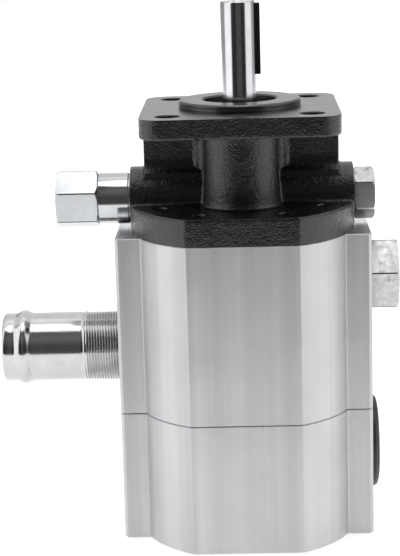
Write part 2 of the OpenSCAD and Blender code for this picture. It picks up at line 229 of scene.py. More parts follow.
def hex_x(af, x0, x1, a, y, z, e=0.3):
    """A hexagonal bar along X, its long edges taken off by e along each flat."""
    h, p = hexpoly(af, a), []
    for i in range(6):
        for o in (h[i - 1], h[(i + 1) % 6]):
            k = e / math.hypot(o[0] - h[i][0], o[1] - h[i][1])
            p.append((h[i][0] + (o[0] - h[i][0]) * k, h[i][1] + (o[1] - h[i][1]) * k))
    v = [(x, y + q[0], z + q[1]) for x in (x0, x1) for q in p]
    f = [tuple(range(12)), tuple(range(12, 24))] + [(i, (i + 1) % 12, 12 + (i + 1) % 12, 12 + i) for i in range(12)]
    return new_obj("c", v, f)


# ----------------------------------------------------------------- materials


class Nodes:
    def __init__(self, name):
        self.m = bpy.data.materials.new(name)
        self.m.use_nodes = True
        self.t = self.m.node_tree
        self.t.nodes.clear()
        self.out = self.t.nodes.new("ShaderNodeOutputMaterial")
        self.b = self.t.nodes.new("ShaderNodeBsdfPrincipled")
        self.t.links.new(self.b.outputs[0], self.out.inputs[0])
        self.co = self.t.nodes.new("ShaderNodeTexCoord").outputs["Object"]

    def link(self, a, b):
        self.t.links.new(a, b)

    def space(self, scale=(1, 1, 1), rot=(0, 0, 0)):
        n = self.t.nodes.new("ShaderNodeMapping")
        n.inputs["Scale"].default_value = scale
        n.inputs["Rotation"].default_value = rot
        self.link(self.co, n.inputs["Vector"])
        return n.outputs[0]

    def noise(self, scale, detail=4, rough=0.55, space=None, distort=0.0):
        n = self.t.nodes.new("ShaderNodeTexNoise")
        n.inputs["Scale"].default_value = scale
        n.inputs["Detail"].default_value = detail
        n.inputs["Roughness"].default_value = rough
        n.inputs["Distortion"].default_value = distort
        self.link(space or self.co, n.inputs["Vector"])
        return n.outputs["Fac"]

    def voronoi(self, scale, space=None, feature="F1"):
        n = self.t.nodes.new("ShaderNodeTexVoronoi")
        n.feature = feature
        n.inputs["Scale"].default_value = scale
        self.link(space or self.co, n.inputs["Vector"])
        return n.outputs["Distance"], n.outputs["Color"]

    def ramp(self, fac, stops):
        n = self.t.nodes.new("ShaderNodeValToRGB")
        e = n.color_ramp.elements
        while len(e) < len(stops):
            e.new(0.5)
        for i, (p, c) in enumerate(stops):
            e[i].position = p
            e[i].color = (*c, 1) if len(c) == 3 else c
        self.link(fac, n.inputs[0])
        return n.outputs[0]

    def remap(self, v, a, b, c, d):
        n = self.t.nodes.new("ShaderNodeMapRange")
        for i, x in zip(range(1, 5), (a, b, c, d)):
            n.inputs[i].default_value = x
        self.link(v, n.inputs[0])
        return n.outputs[0]

    def math(self, op, a, b=None):
        n = self.t.nodes.new("ShaderNodeMath")
        n.operation = op
        for i, x in enumerate((a, b)):
            if x is None:
                continue
            if isinstance(x, (int, float)):
                n.inputs[i].default_value = x
            else:
                self.link(x, n.inputs[i])
        return n.outputs[0]

    def mix(self, fac, a, b, blend="MIX"):
        n = self.t.nodes.new("ShaderNodeMix")
        n.data_type, n.blend_type = "RGBA", blend
        for s, x in ((n.inputs[0], fac), (n.inputs[6], a), (n.inputs[7], b)):
            if isinstance(x, (int, float)):
                s.default_value = x
            elif isinstance(x, tuple):
                s.default_value = (*x, 1)
            else:
                self.link(x, s)
        return n.outputs[2]

    def bump(self, h, strength, dist, normal=None):
        n = self.t.nodes.new("ShaderNodeBump")
        n.inputs["Strength"].default_value = strength
        n.inputs["Distance"].default_value = dist
        self.link(h, n.inputs["Height"])
        if normal is not None:
            self.link(normal, n.inputs["Normal"])
        return n.outputs[0]

    def set(self, color=None, metallic=None, rough=None, normal=None, **kw):
        for key, x in (("Base Color", color), ("Metallic", metallic), ("Roughness", rough), ("Normal", normal)):
            if x is None:
                continue
            s = self.b.inputs[key]
            if isinstance(x, (int, float)):
                s.default_value = x
            elif isinstance(x, tuple):
                s.default_value = (*x, 1)
            else:
                self.link(x, s)
        for k, v in kw.items():
            self.b.inputs[k.replace("_", " ")].default_value = v
        return self.m


def cast_iron():
    n = Nodes("cast_iron_black")
    big, mid, fine = n.noise(160, 3), n.noise(1500, 2, 0.5), n.noise(3200, 2, 0.6)
    col = n.ramp(mid, [(0.35, (0.005, 0.005, 0.0052)), (0.62, (0.009, 0.009, 0.0095)), (0.8, (0.035, 0.035, 0.036))])
    r = n.math("ADD", n.remap(big, 0.3, 0.7, 0.19, 0.27), n.remap(fine, 0.3, 0.7, -0.03, 0.06))
    h = n.math("ADD", n.math("MULTIPLY", mid, 0.85), n.math("MULTIPLY", fine, 0.15))
    return n.set(col, 0.0, r, n.bump(h, 0.6, 0.0005), Specular_IOR_Level=0.7, IOR=1.5)


def machined_iron():
    n = Nodes("cast_iron_machined")
    lines = n.noise(1, 3, 0.5, n.space((60, 5200, 60)))
    big = n.noise(120, 3)
    col = n.mix(n.remap(big, 0.3, 0.7, 0, 1), (0.13, 0.13, 0.133), (0.19, 0.19, 0.193))
    r = n.math("ADD", n.remap(lines, 0.3, 0.7, 0.24, 0.40), n.remap(big, 0.3, 0.7, -0.04, 0.04))
    return n.set(col, 0.95, r, n.bump(lines, 0.25, 0.00006))


def turned_iron():
    n = Nodes("cast_iron_turned")
    lines = n.noise(1, 3, 0.5, n.space((40, 40, 6500)))
    col = n.mix(n.remap(lines, 0.3, 0.7, 0, 1), (0.07, 0.07, 0.073), (0.14, 0.14, 0.145))
    return n.set(col, 0.9, n.remap(lines, 0.3, 0.7, 0.2, 0.34), n.bump(lines, 0.4, 0.00008))


def extruded():
    n = Nodes("extruded_aluminium")
    draw = n.noise(1, 4, 0.6, n.space((2300, 2300, 5)))
    wide = n.noise(1, 3, 0.5, n.space((190, 190, 1.6)))
    grain = n.noise(5200, 2, 0.6)
    blot = n.noise(38, 3)
    c = n.mix(n.remap(wide, 0.3, 0.7, 0, 1), (0.51, 0.513, 0.52), (0.64, 0.643, 0.65))
    c = n.mix(n.remap(draw, 0.35, 0.75, 0, 0.22), c, (0.72, 0.72, 0.73))
    c = n.mix(n.remap(blot, 0.42, 0.70, 0.0, 0.35), c, (0.47, 0.47, 0.48))
    r = n.math("ADD", n.remap(draw, 0.3, 0.7, 0.40, 0.54), n.remap(grain, 0.3, 0.7, -0.03, 0.05))
    h = n.math("ADD", n.math("MULTIPLY", draw, 0.8), n.math("MULTIPLY", grain, 0.25))
    return n.set(c, 0.9, r, n.bump(h, 0.32, 0.00007, n.bump(wide, 0.10, 0.0004)))


def milled():
    n = Nodes("milled_aluminium")
    arcs = n.noise(1, 3, 0.55, n.space((2600, 90, 90), (0, 0, 0.12)))
    big = n.noise(90, 3)
    c = n.mix(n.remap(big, 0.3, 0.7, 0, 1), (0.70, 0.71, 0.72), (0.80, 0.81, 0.82))
    return n.set(c, 1.0, n.remap(arcs, 0.3, 0.7, 0.24, 0.4), n.bump(arcs, 0.3, 0.00007))


def steel(name, base, rough, along="Z", lines=0.3, spread=0.06, freq=5200):
    n = Nodes(name)
    s = {"Z": (60, 60, freq), "X": (freq, 60, 60), "Y": (60, freq, 60), "N": (freq / 3,) * 3}[along]
    l = n.noise(1, 3, 0.55, n.space(s))
    big = n.noise(130, 4)
    dark = tuple(c * 0.86 for c in base)
    c = n.mix(n.remap(big, 0.35, 0.7, 0, 1), base, dark)
    r = n.math("ADD", n.remap(l, 0.3, 0.7, rough - spread, rough + spread), n.remap(big, 0.3, 0.7, -0.02, 0.03))
    return n.set(c, 1.0, r, n.bump(l, lines, 0.00005))


def bright_zinc(name="bright_zinc", lift=0.0):
    n = Nodes(name)
    haze = n.noise(260, 4, 0.6)
    fine = n.noise(1, 3, 0.6, n.space((4200, 300, 300)))
    tint = n.noise(45, 2)
    c = n.mix(n.remap(tint, 0.35, 0.7, 0, 1), (0.56, 0.57, 0.58), (0.50, 0.51, 0.52))
    c = n.mix(n.remap(haze, 0.5, 0.8, 0, 0.2), c, (0.48, 0.485, 0.49))
    r = n.math("ADD", n.remap(haze, 0.3, 0.7, 0.07 + lift, 0.13 + lift), n.remap(fine, 0.3, 0.7, -0.01, 0.04))
    return n.set(c, 1.0, r, n.bump(fine, 0.12, 0.00003, n.bump(haze, 0.05, 0.0001)))


def tube_zinc():
    n = Nodes("bright_zinc_tube")
    haze = n.noise(200, 5, 0.65)
    fine = n.noise(1, 3, 0.6, n.space((300, 4200, 4200)))
    c = n.mix(n.remap(haze, 0.35, 0.7, 0, 1), (0.58, 0.585, 0.585), (0.51, 0.515, 0.515))
    r = n.math("ADD", n.remap(haze, 0.3, 0.7, 0.10, 0.15), n.remap(fine, 0.3, 0.7, -0.02, 0.04))
    return n.set(c, 1.0, r, n.bump(fine, 0.2, 0.00004, n.bump(haze, 0.1, 0.0001)))


def dull_zinc(name="dull_zinc", top=(0.60, 0.61, 0.60), low=(0.46, 0.47, 0.46)):
    n = Nodes(name)
    d, _ = n.voronoi(1500)
    haze = n.noise(420, 5, 0.65)
    spots = n.noise(210, 3, 0.7)
    c = n.mix(n.remap(haze, 0.35, 0.7, 0, 1), top, low)
    c = n.mix(n.remap(spots, 0.62, 0.72, 0, 0.7), c, (0.22, 0.23, 0.23))
    r = n.math("ADD", n.remap(haze, 0.3, 0.7, 0.24, 0.40), n.remap(d, 0.0, 0.8, -0.03, 0.05))
    return n.set(c, 1.0, r, n.bump(haze, 0.3, 0.0001, n.bump(d, 0.2, 0.00008)))


def plastic():
    n = Nodes("black_plastic")
    g = n.noise(1900, 3, 0.6)
    b = n.noise(110, 3)
    c = n.mix(n.remap(b, 0.3, 0.7, 0, 1), (0.016, 0.016, 0.017), (0.03, 0.03, 0.031))
    return n.set(c, 0.0, n.remap(g, 0.3, 0.7, 0.34, 0.5), n.bump(g, 0.3, 0.00007), Specular_IOR_Level=0.5)


def black_oxide(name="black_steel"):
    n = Nodes(name)
    g = n.noise(1400, 4, 0.6)
    w = n.noise(300, 3, 0.6)
    c = n.mix(n.remap(w, 0.55, 0.75, 0, 1), (0.018, 0.018, 0.02), (0.07, 0.07, 0.072))
    return n.set(c, 0.6, n.remap(g, 0.3, 0.7, 0.28, 0.46), n.bump(g, 0.3, 0.00006))


def rubber():
    n = Nodes("seal_rubber")
    g = n.noise(2200, 3, 0.6)
    b = n.noise(200, 3)
    c = n.mix(n.remap(b, 0.3, 0.7, 0, 1), (0.012, 0.012, 0.012), (0.028, 0.028, 0.027))
    return n.set(c, 0.0, n.remap(g, 0.3, 0.7, 0.5, 0.7), n.bump(g, 0.3, 0.00008))


def bronze():
    n = Nodes("bushing_bronze")
    l = n.noise(1, 3, 0.6, n.space((90, 90, 3600)))
    s = n.noise(260, 4, 0.6)
    c = n.mix(n.remap(s, 0.35, 0.7, 0, 1), (0.62, 0.40, 0.19), (0.46, 0.28, 0.13))
    return n.set(c, 1.0, n.remap(l, 0.3, 0.7, 0.26, 0.42), n.bump(l, 0.3, 0.00006))


def washer():
    n = Nodes("washer_steel")
    s = n.noise(600, 4, 0.6)
    c = n.mix(n.remap(s, 0.35, 0.7, 0, 1), (0.42, 0.42, 0.43), (0.28, 0.28, 0.285))
    return n.set(c, 1.0, n.remap(s, 0.3, 0.7, 0.3, 0.48), n.bump(s, 0.25, 0.00006))


def cast_alu():
    n = Nodes("cast_aluminium")
    s = n.noise(700, 4, 0.6)
    l = n.noise(1, 3, 0.5, n.space((2400, 120, 120)))
    c = n.mix(n.remap(s, 0.35, 0.7, 0, 1), (0.66, 0.67, 0.68), (0.52, 0.53, 0.54))
    return n.set(c, 1.0, n.remap(l, 0.3, 0.7, 0.34, 0.5), n.bump(s, 0.25, 0.00008))


def floor_mat():
    n = Nodes("pale_floor")
    s = n.noise(9, 3)
    c = n.mix(n.remap(s, 0.3, 0.7, 0, 1), (0.93, 0.93, 0.93), (0.95, 0.95, 0.95))
    n.link(c, n.b.inputs["Emission Color"])
    return n.set(c, 0.0, 0.7, None, Specular_IOR_Level=0.2, Emission_Strength=0.5)


IRON, MIRON, TIRON = cast_iron(), machined_iron(), turned_iron()
ALU, MALU, CALU = extruded(), milled(), cast_alu()
GROUND = steel("ground_steel", (0.66, 0.665, 0.675), 0.14, "Z", 0.12, 0.04, 7000)
GROUNDX = steel("ground_steel_x", (0.78, 0.79, 0.81), 0.16, "X", 0.15, 0.05, 6000)
GEAR = steel("gear_steel", (0.56, 0.57, 0.59), 0.27, "Z", 0.25, 0.07, 2600)
SPRING = steel("spring_steel", (0.34, 0.345, 0.355), 0.32, "N", 0.2, 0.06, 3000)
ZINC, DULL, TUBE = bright_zinc(), dull_zinc(), tube_zinc()
PALE = dull_zinc("dull_zinc_pale", (0.56, 0.57, 0.56), (0.42, 0.43, 0.42))
SATIN = bright_zinc("bright_zinc_satin", 0.17)
# dark steel for the hex plugs' long edges: a painted dark reflection, not wear
DARK_EDGE_PAINT = steel("painted_dark_edge_reflection", (0.12, 0.12, 0.125), 0.35, "N", 0.2, 0.06, 3000)
PLASTIC, OXIDE, RUBBER, BRONZE, WASHER = plastic(), black_oxide(), rubber(), bronze(), washer()
SLOT_MAT = {
    "cast_iron_black": IRON, "seal_rubber": RUBBER, "spring_steel": SPRING, "bushing_bronze": BRONZE,
    "ground_steel": GROUND, "black_steel": OXIDE, "gear_steel": GEAR, "cast_aluminium": CALU,
    "extruded_aluminium": ALU, "bright_zinc": ZINC, "dull_zinc": DULL, "washer_steel": WASHER, "black_plastic": PLASTIC,
}
for sp in frame["record"]["subparts"]:
    ob = frame["nodes"].get(sp["node"])
    if ob is not None:
        mt = GROUNDX if sp["node"] in ("unloader_spool", "check_valve_poppet") else SLOT_MAT.get(sp["material_slot"], WASHER)
        if not ob.material_slots:
            ob.data.materials.append(mt)
        for s in ob.material_slots:
            s.material = mt

# ------------------------------------------------------------------- cover


def core_poly(r=SIDE_R, front=FRONT, edge=1.0):
    """Outline shared by the plate and the housings: two flats joined by four arcs."""
    ya = front + ARC_Y
    a0 = math.degrees(math.acos(ya / r))
    pts = []
    fr = arc(0, ARC_Y, r, -90 + a0, 0, 40)
    bk = arc(0, CD - ARC_Y, r, 0, 90 - a0, 40)
    right = [(fr[0][0], fr[0][1], edge)] + fr[1:] + bk[:-1] + [(bk[-1][0], bk[-1][1], edge)]
    left = [(-p[0], *p[1:]) for p in reversed(right)]
    return fillet(right + left, 6)


def body_poly():
    """The extrusion: the core's arcs, with a port pad on each side."""
    ya = FRONT + ARC_Y
    a0 = math.degrees(math.acos(ya / SIDE_R))
    yb = PAD_Y + ARC_Y
    a1 = math.degrees(math.acos(yb / SIDE_R))
    fr = arc(0, ARC_Y, SIDE_R, -90 + a0, -90 + a1, 30)
    f = [(fr[0][0], fr[0][1], 0.9)] + fr[1:-1] + [(fr[-1][0], fr[-1][1], 0.7), (PAD_X - 1.15, -PAD_Y), (PAD_X, -PAD_Y + 1.15)]
    b = [(p[0], CD - p[1], *p[2:]) for p in reversed(f)]
    right = f + b
    left = [(-p[0], *p[1:]) for p in reversed(right)]
    return fillet(right + left, 6)


def make_cover():
    w, c = 35.6, 8.0
    sq = fillet([(-w, -w, c), (w, -w, c), (w, w, c), (-w, w, c)], 12)
    o = prism("cover", sq, [(-7.4, 0.5), (-6.9, 0.0), (1.2, 0.0)])
    neck = lathe("c", [(0, -6.0), (16.2, -6.0), (15.6, -7.4), (14.9, -7.9), (14.2, -8.8), (13.8, -10.5), (13.7, -13), (13.8, -22), (14.1, -30),
                       (14.2, -34), (14.4, -35.5), (14.9, -36.4), (15.4, -37.2), (0, -37.2)], seg=160)
    plate = prism("c", core_poly(SIDE_R - 0.05, edge=1.2), [(JOINT - 1.2, 0), (TOP - 0.5, 0), (TOP, 0.45)])
    boss = lathe("c", [(0, -42.6), (12.0, -42.6), (12.0, 42.6), (0, 42.6)], "X", (0, BY - 0.7, CZ), 128)
    # the web's front runs down into the boss in a broad hollow
    wp = [(17.5, -6.5), (7.9, -6.5), (7.9, -19.5)] + [(7.9 - 3.2 * (1 - math.cos(math.radians(t))), -19.5 - 5.2 * math.sin(math.radians(t))) for t in range(10, 91, 10)] + [(4.7, -33), (17.5, -33)]
    v = [(x, q[0], q[1]) for x in (-36.3, 36.3) for q in wp]
    k = len(wp)
    web = new_obj("c", v, [tuple(range(k)), tuple(range(k, 2 * k))] + [(i, (i + 1) % k, k + (i + 1) % k, k + i) for i in range(k)])
    ribs = []
    for s in (-1, 1):
        # concave run from the neck to the web
        pts = [(s * 8, 10), (s * 8, 3.0)] + [(s * (17.1 - 3.6 * math.cos(math.radians(t))), 3.2 + 3.6 * math.sin(math.radians(t))) for t in range(0, 91, 10)] + [(s * 17.3, 10)]
        ribs.append(prism("c", pts, [(CZ, 0), (-6.5, 0)]))
    foot = cube(-42.6, 42.6, 1.32, 13, -37.0, CZ)
    boolean(o, [neck, plate, boss, foot, web] + ribs, "UNION")
    m = o.modifiers.new("r", "REMESH")
    m.mode, m.voxel_size = "VOXEL", 0.5
    m = o.modifiers.new("s", "SMOOTH")
    m.factor, m.iterations = 0.5, 3
    bake(o)
    # sand-cast surface: a slow unevenness and a fine grain, as real relief
    me = o.data
    normals = [Vector(v.vector) for v in me.vertex_normals]
    flat = []
    for v, nn in zip(me.vertices, normals):
        p = v.co
        d = 0.07 * noise.noise(p * 0.16) + 0.06 * noise.noise(p * 0.55 + Vector((7, 3, 1))) + 0.05 * noise.noise(p * 1.05 + Vector((1, 9, 4)))
        flat.extend(p + nn * (d - 0.06))
    me.vertices.foreach_set("co", flat)
    me.update()
    # machined faces, cut clean
    cuts = [cube(-60, 60, -60, 60, 0, 5), cube(-60, 60, -60, 80, JOINT - 6, JOINT), cube(41.5, 50, -20, 60, -60, 20), cube(-50, -41.5, -20, 60, -60, 20)]
    boolean(o, cuts)
    pilot = lathe("c", fillet([(0, -2), (21.8, -2), (21.8, 0.45, 0.1), (22.225, 0.55), (22.225, 1.35), (22.05, 1.5), (22.225, 1.65), (22.225, 2.4), (21.7, 2.9), (0, 2.9)], 3), seg=192)
    boolean(o, [pilot], "UNION")
    cuts = []
    for sx in (-1, 1):
        for sy in (-1, 1):
            cuts.append(lathe("c", [(0, -12), (4.35, -12), (4.35, -0.35), (4.9, 0.2), (6, 1.3), (0, 1.3)], "Z", (sx * 25.4, sy * 25.4, 0), 72))
    for x, y in BOLTS:
        cuts.append(lathe("c", [(0, JOINT - 2), (3.2, JOINT - 2), (3.2, -39.1), (2.6, -38.6), (2.6, TOP - 0.5), (3.6, TOP + 0.6), (0, TOP + 0.6)], "Z", (x, y, 0), 48))
    cuts.append(lathe("c", [(0, JOINT - 2), (8.1, JOINT - 2), (8.1, -27), (9.0, -27), (9.0, -12), (8.1, -12), (8.1, -6.4), (13.5, -6.4), (13.5, -2.25), (14.3, -2.25), (14.3, -0.8),
                            (13.5, -0.8), (13.5, 2.3), (14.8, 3.6), (0, 3.6)], "Z", (0, 0, 0), 160))
    cuts.append(lathe("c", [(0, -43), (8.8, -43), (7.9, -40.9), (7.9, -28), (4.55, -28), (4.55, 28), (6.9, 28), (6.9, 40.9), (7.8, 43), (0, 43)], "X", (0, BY, CZ), 96))
    for s in (-1, 1):
        cuts.append(cyl(2.5, JOINT - 1, CZ, "Z", (s * 24, MY, 0), 32))
    for x, y in DOWELS:
        cuts.append(cyl(2.55, JOINT - 1, JOINT + 6.3, "Z", (x, y, 0), 32))
    boolean(o, cuts)
    bm = bmesh.new()
    bm.from_mesh(o.data)
    for f in bm.faces:
        c, nn = f.calc_center_median(), f.normal
        k = 0
        if c.z > -0.06 and nn.z > 0.97:
            k = 1
        elif c.z > 0.01:
            k = 2
        elif nn.z < -0.97 and c.z < JOINT + 0.05:
            k = 1
        elif abs(c.x) > 41.44 and abs(nn.x) > 0.97:
            k = 2
        elif math.hypot(c.x, c.y) < 14.9 and c.z > -7 and math.hypot(c.x, c.y) > 7:
            k = 2
        f.material_index = k
    bm.to_mesh(o.data)
    bm.free()
    idx = [p.material_index for p in o.data.polygons]
    done(o, "front_cover_cast", "housing", ["front_cover"], [IRON, MIRON, TIRON], 38)
    o.data.polygons.foreach_set("material_index", idx)
    return o


# ---------------------------------------------------------------- housings


def eight(r, z0, z1):
    a = cyl(r, z0, z1, "Z", (0, 0, 0), 160)
    return boolean(a, [cyl(r, z0, z1, "Z", (0, CD, 0), 160)], "UNION")


def loop(z0, z1):
    a = eight(22.4, z0, z1)
    return boolean(a, [eight(20.6, z0 - 1, z1 + 1)])


def ring(ro, ri, z0, z1, x):
    return lathe("c", [(ri, z0), (ro, z0), (ro, z1), (ri, z1)], "Z", (x, MY, 0), 48)


def make_housings():
    poly = body_poly()
    up = prism("up", poly, [(SEAM, 0.6), (SEAM + 0.2, 0.12), (SEAM + 0.35, 0.0), (JOINT - 0.3, 0.0), (JOINT, 0.3)])
    cuts = [eight(19.56, -86.5, JOINT + 1), cyl(9, SEAM - 1, -85.5, "Z", (0, 0, 0)), cyl(9, SEAM - 1, -85.5, "Z", (0, CD, 0)), loop(JOINT - 1.6, JOINT + 1),
            cyl(10.5, -34, -20, "X", (0, MY, INLET_Z)), cyl(4.5, SEAM - 1, -74.6, "Z", (-24, MY, 0)), cyl(4.5, -24, -8, "X", (0, MY, -74.6)),
            cyl(2.5, -80, JOINT + 1, "Z", (-24, MY, 0)), cyl(3.5, 8, 23, "X", (0, MY, CHECK_Z)), cyl(2.5, CHECK_Z, JOINT + 1, "Z", (24, MY, 0)),
            cyl(3.2, SEAM - 1, CHECK_Z, "Z", (26.5, MY, 0))]
    cuts += [ring(4.9, 3.3, JOINT - 1.6, JOINT + 1, s * 24) for s in (-1, 1)]
    cuts += [lathe("c", [(0, -49), (15.4, -49), (13.42, -46.2), (13.42, -33), (0, -33)], "X", (0, MY, INLET_Z), 96),
             lathe("c", [(0, 22), (9.55, 22), (9.55, 46.3), (11.5, 49), (0, 49)], "X", (0, MY, CHECK_Z), 96)]
    cuts += [cyl(3.4, SEAM - 1, JOINT + 1, "Z", (x, y, 0), 40) for x, y in BOLTS]
    for x, y in DOWELS:
        cuts += [cyl(2.55, JOINT - 6.3, JOINT + 1, "Z", (x, y, 0), 32), cyl(2.55, SEAM - 1, SEAM + 6.3, "Z", (x, y, 0), 32)]
    boolean(up, cuts)
    lo = prism("lo", poly, [(BASE, 0.5), (BASE + 0.5, 0.0), (SEAM - 0.35, 0.0), (SEAM - 0.2, 0.12), (SEAM, 0.6)])
    cuts = [eight(19.56, -139, SEAM + 1), loop(SEAM - 1.6, SEAM + 1), cyl(4.5, -119, SEAM + 1, "Z", (-24, MY, 0)), cyl(2.3, -24, -8, "X", (0, MY, -117.7)),
            cyl(3.2, OUTLET_Z, SEAM + 1, "Z", (26.5, MY, 0)), cyl(2.3, 8, 26, "X", (0, MY, -117.7)), ring(6.4, 5.0, SEAM - 1.6, SEAM + 1, -24), ring(5.4, 3.9, SEAM - 1.6, SEAM + 1, 26.5),
            ]

    def thread(r, a, t):
        return r + 0.32 * abs(((a / 1.81 - t / (2 * math.pi)) % 1) * 2 - 1) if 26 < a < 45.6 and r > 9 else r
    port = [(0, 24), (10.4, 24), (10.4, 26)] + [(10.4, 26 + 0.2 * i) for i in range(1, 98)] + [(10.4, 45.7), (11.9, 47.2), (13.5, 49), (0, 49)]
    cuts += [lathe("c", port, "X", (0, MY, OUTLET_Z), 96, thread)]
    for x, y in BOLTS:
        cuts.append(lathe("c", [(0, BASE - 2), (7.8, BASE - 2), (5.2, BASE + 0.6), (5.2, BASE + 7.5), (3.4, BASE + 7.5), (3.4, SEAM + 1), (0, SEAM + 1)], "Z", (x, y, 0), 56))
    for x, y in DOWELS:
        cuts += [cyl(2.55, SEAM - 6.3, SEAM + 1, "Z", (x, y, 0), 32)]
    boolean(lo, cuts)
    for o, name, node in ((up, "upper_housing_body", "upper_housing"), (lo, "lower_housing_body", "lower_housing")):
        bm = bmesh.new()
        bm.from_mesh(o.data)
        for f in bm.faces:
            c, nn = f.calc_center_median(), f.normal
            f.material_index = 1 if abs(nn.z) > 0.9 or abs(c.x) < 36 and -20 < c.y < 53 and math.hypot(c.x, c.y - MY) < 37 and abs(nn.z) < 0.1 and c.y > -26 and abs(c.x) < 28 else 0
        bm.to_mesh(o.data)
        bm.free()
        idx = [p.material_index for p in o.data.polygons]
        done(o, name, "housing", [node], [ALU, MALU], 24)
        o.data.polygons.foreach_set("material_index", idx)


# ------------------------------------------------------------- shaft and key


def make_shaft():
    r = 6.35
    prof = fillet([(0, -137), (7.5, -137, 0.7), (7.5, -2.3), (r, -1.3), (r, 38.1, 0.9), (0, 38.1)], 5)
    o = lathe("shaft", prof, seg=160)
    kz = 38.1 - 1 - 25.6
    cuts = [cube(4.7, 9, -1.62, 1.62, kz, 40)]
    for z0, z1 in ((-83.65, -65.65), (-119.95, -115.45)):
        cuts.append(cube(5.3, 9.5, -2, 2, z0, z1))
    cuts.append(lathe("c", [(0, 35.6), (0.8, 36.2), (0.8, 36.6), (2.3, 38.4), (0, 38.4)], seg=48))
    boolean(o, cuts)
    done(o, "drive_shaft_ground", "drive_shaft", ["drive_shaft"], GROUND, 30)
    k = cube(4.72, 7.9, -1.6, 1.6, kz + 0.02, kz + 25.6)
    bevel(k, 0.28, 3, 60)
    done(k, "shaft_key_bar", "drive_shaft", ["shaft_key"], OXIDE, 40)


def make_seal():
    o = lathe("seal", fillet([(13.46, -6.2, 0.3), (13.46, -2.3, 0.4), (11.3, -2.3, 0.3), (11.0, -2.6, 0.15), (10.4, -2.6, 0.2), (9.9, -3.0, 0.2), (8.6, -3.4, 0.2), (7.6, -4.0), (7.56, -4.3),
                               (7.6, -4.6), (8.6, -5.4, 0.2), (9.4, -5.4, 0.2), (9.8, -3.8, 0.2), (12.2, -3.5, 0.3), (12.2, -6.2)], 4), seg=144)
    done(o, "shaft_seal_lip", "housing", ["shaft_seal"], RUBBER, 40)
    o = lathe("ring", fillet([(11.8, -2.1, 0.15), (14.2, -2.1, 0.15), (14.2, -0.95, 0.15), (11.8, -0.95, 0.15)], 3), seg=144)
    boolean(o, [cube(-3, 3, -16, -8, -3, 0), lathe("c", [(0, -3), (0.9, -3), (0.9, 0), (0, 0)], "Z", (4.4, -12.2, 0), 24), lathe("c", [(0, -3), (0.9, -3), (0.9, 0), (0, 0)], "Z", (-4.4, -12.2, 0), 24)])
    done(o, "seal_retaining_ring_flat", "housing", ["seal_retaining_ring"], SPRING, 35)


# ------------------------------------------------------------ plugs and ports


def hexplug(name, af, a, y, z, hexx, prof, node, mat, extra=None, holes=(), bev=0.3, body="housing", seg=128, keep=None):
    o = hex_x(af, hexx[0], hexx[1], a, y, z)
    boolean(o, [lathe("c", prof, "X", (0, y, z), seg)], "INTERSECT")
    bevel(o, bev, 3, 40)
    if extra:
        boolean(o, [lathe("c", e, "X", (0, y, z), seg) for e in extra], "UNION")
    if holes:
        boolean(o, [lathe("c", h, "X", (0, y, z), 96) for h in holes])
    # the long edges get a dark steel: a painted dark reflection of the room's dark front, standing in for what the
    # bevels would reflect
    idx = []
    for f in o.data.polygons:
        c, nn = f.center, f.normal
        turn = (math.degrees(math.atan2(nn.z, nn.y)) + a) % 60
        out = math.hypot(c.y - y, c.z - z)
        painted_dark = abs(nn.x) < 0.2 and min(turn, 60 - turn) < 28.5 and out > af / 2 * 1.09 and hexx[0] < c.x < hexx[1]
        idx.append(1 if painted_dark and (keep is None or keep(c)) else 0)
    done(o, name, body, [node], [mat, DARK_EDGE_PAINT], 12)
    o.data.polygons.foreach_set("material_index", idx)
    return o


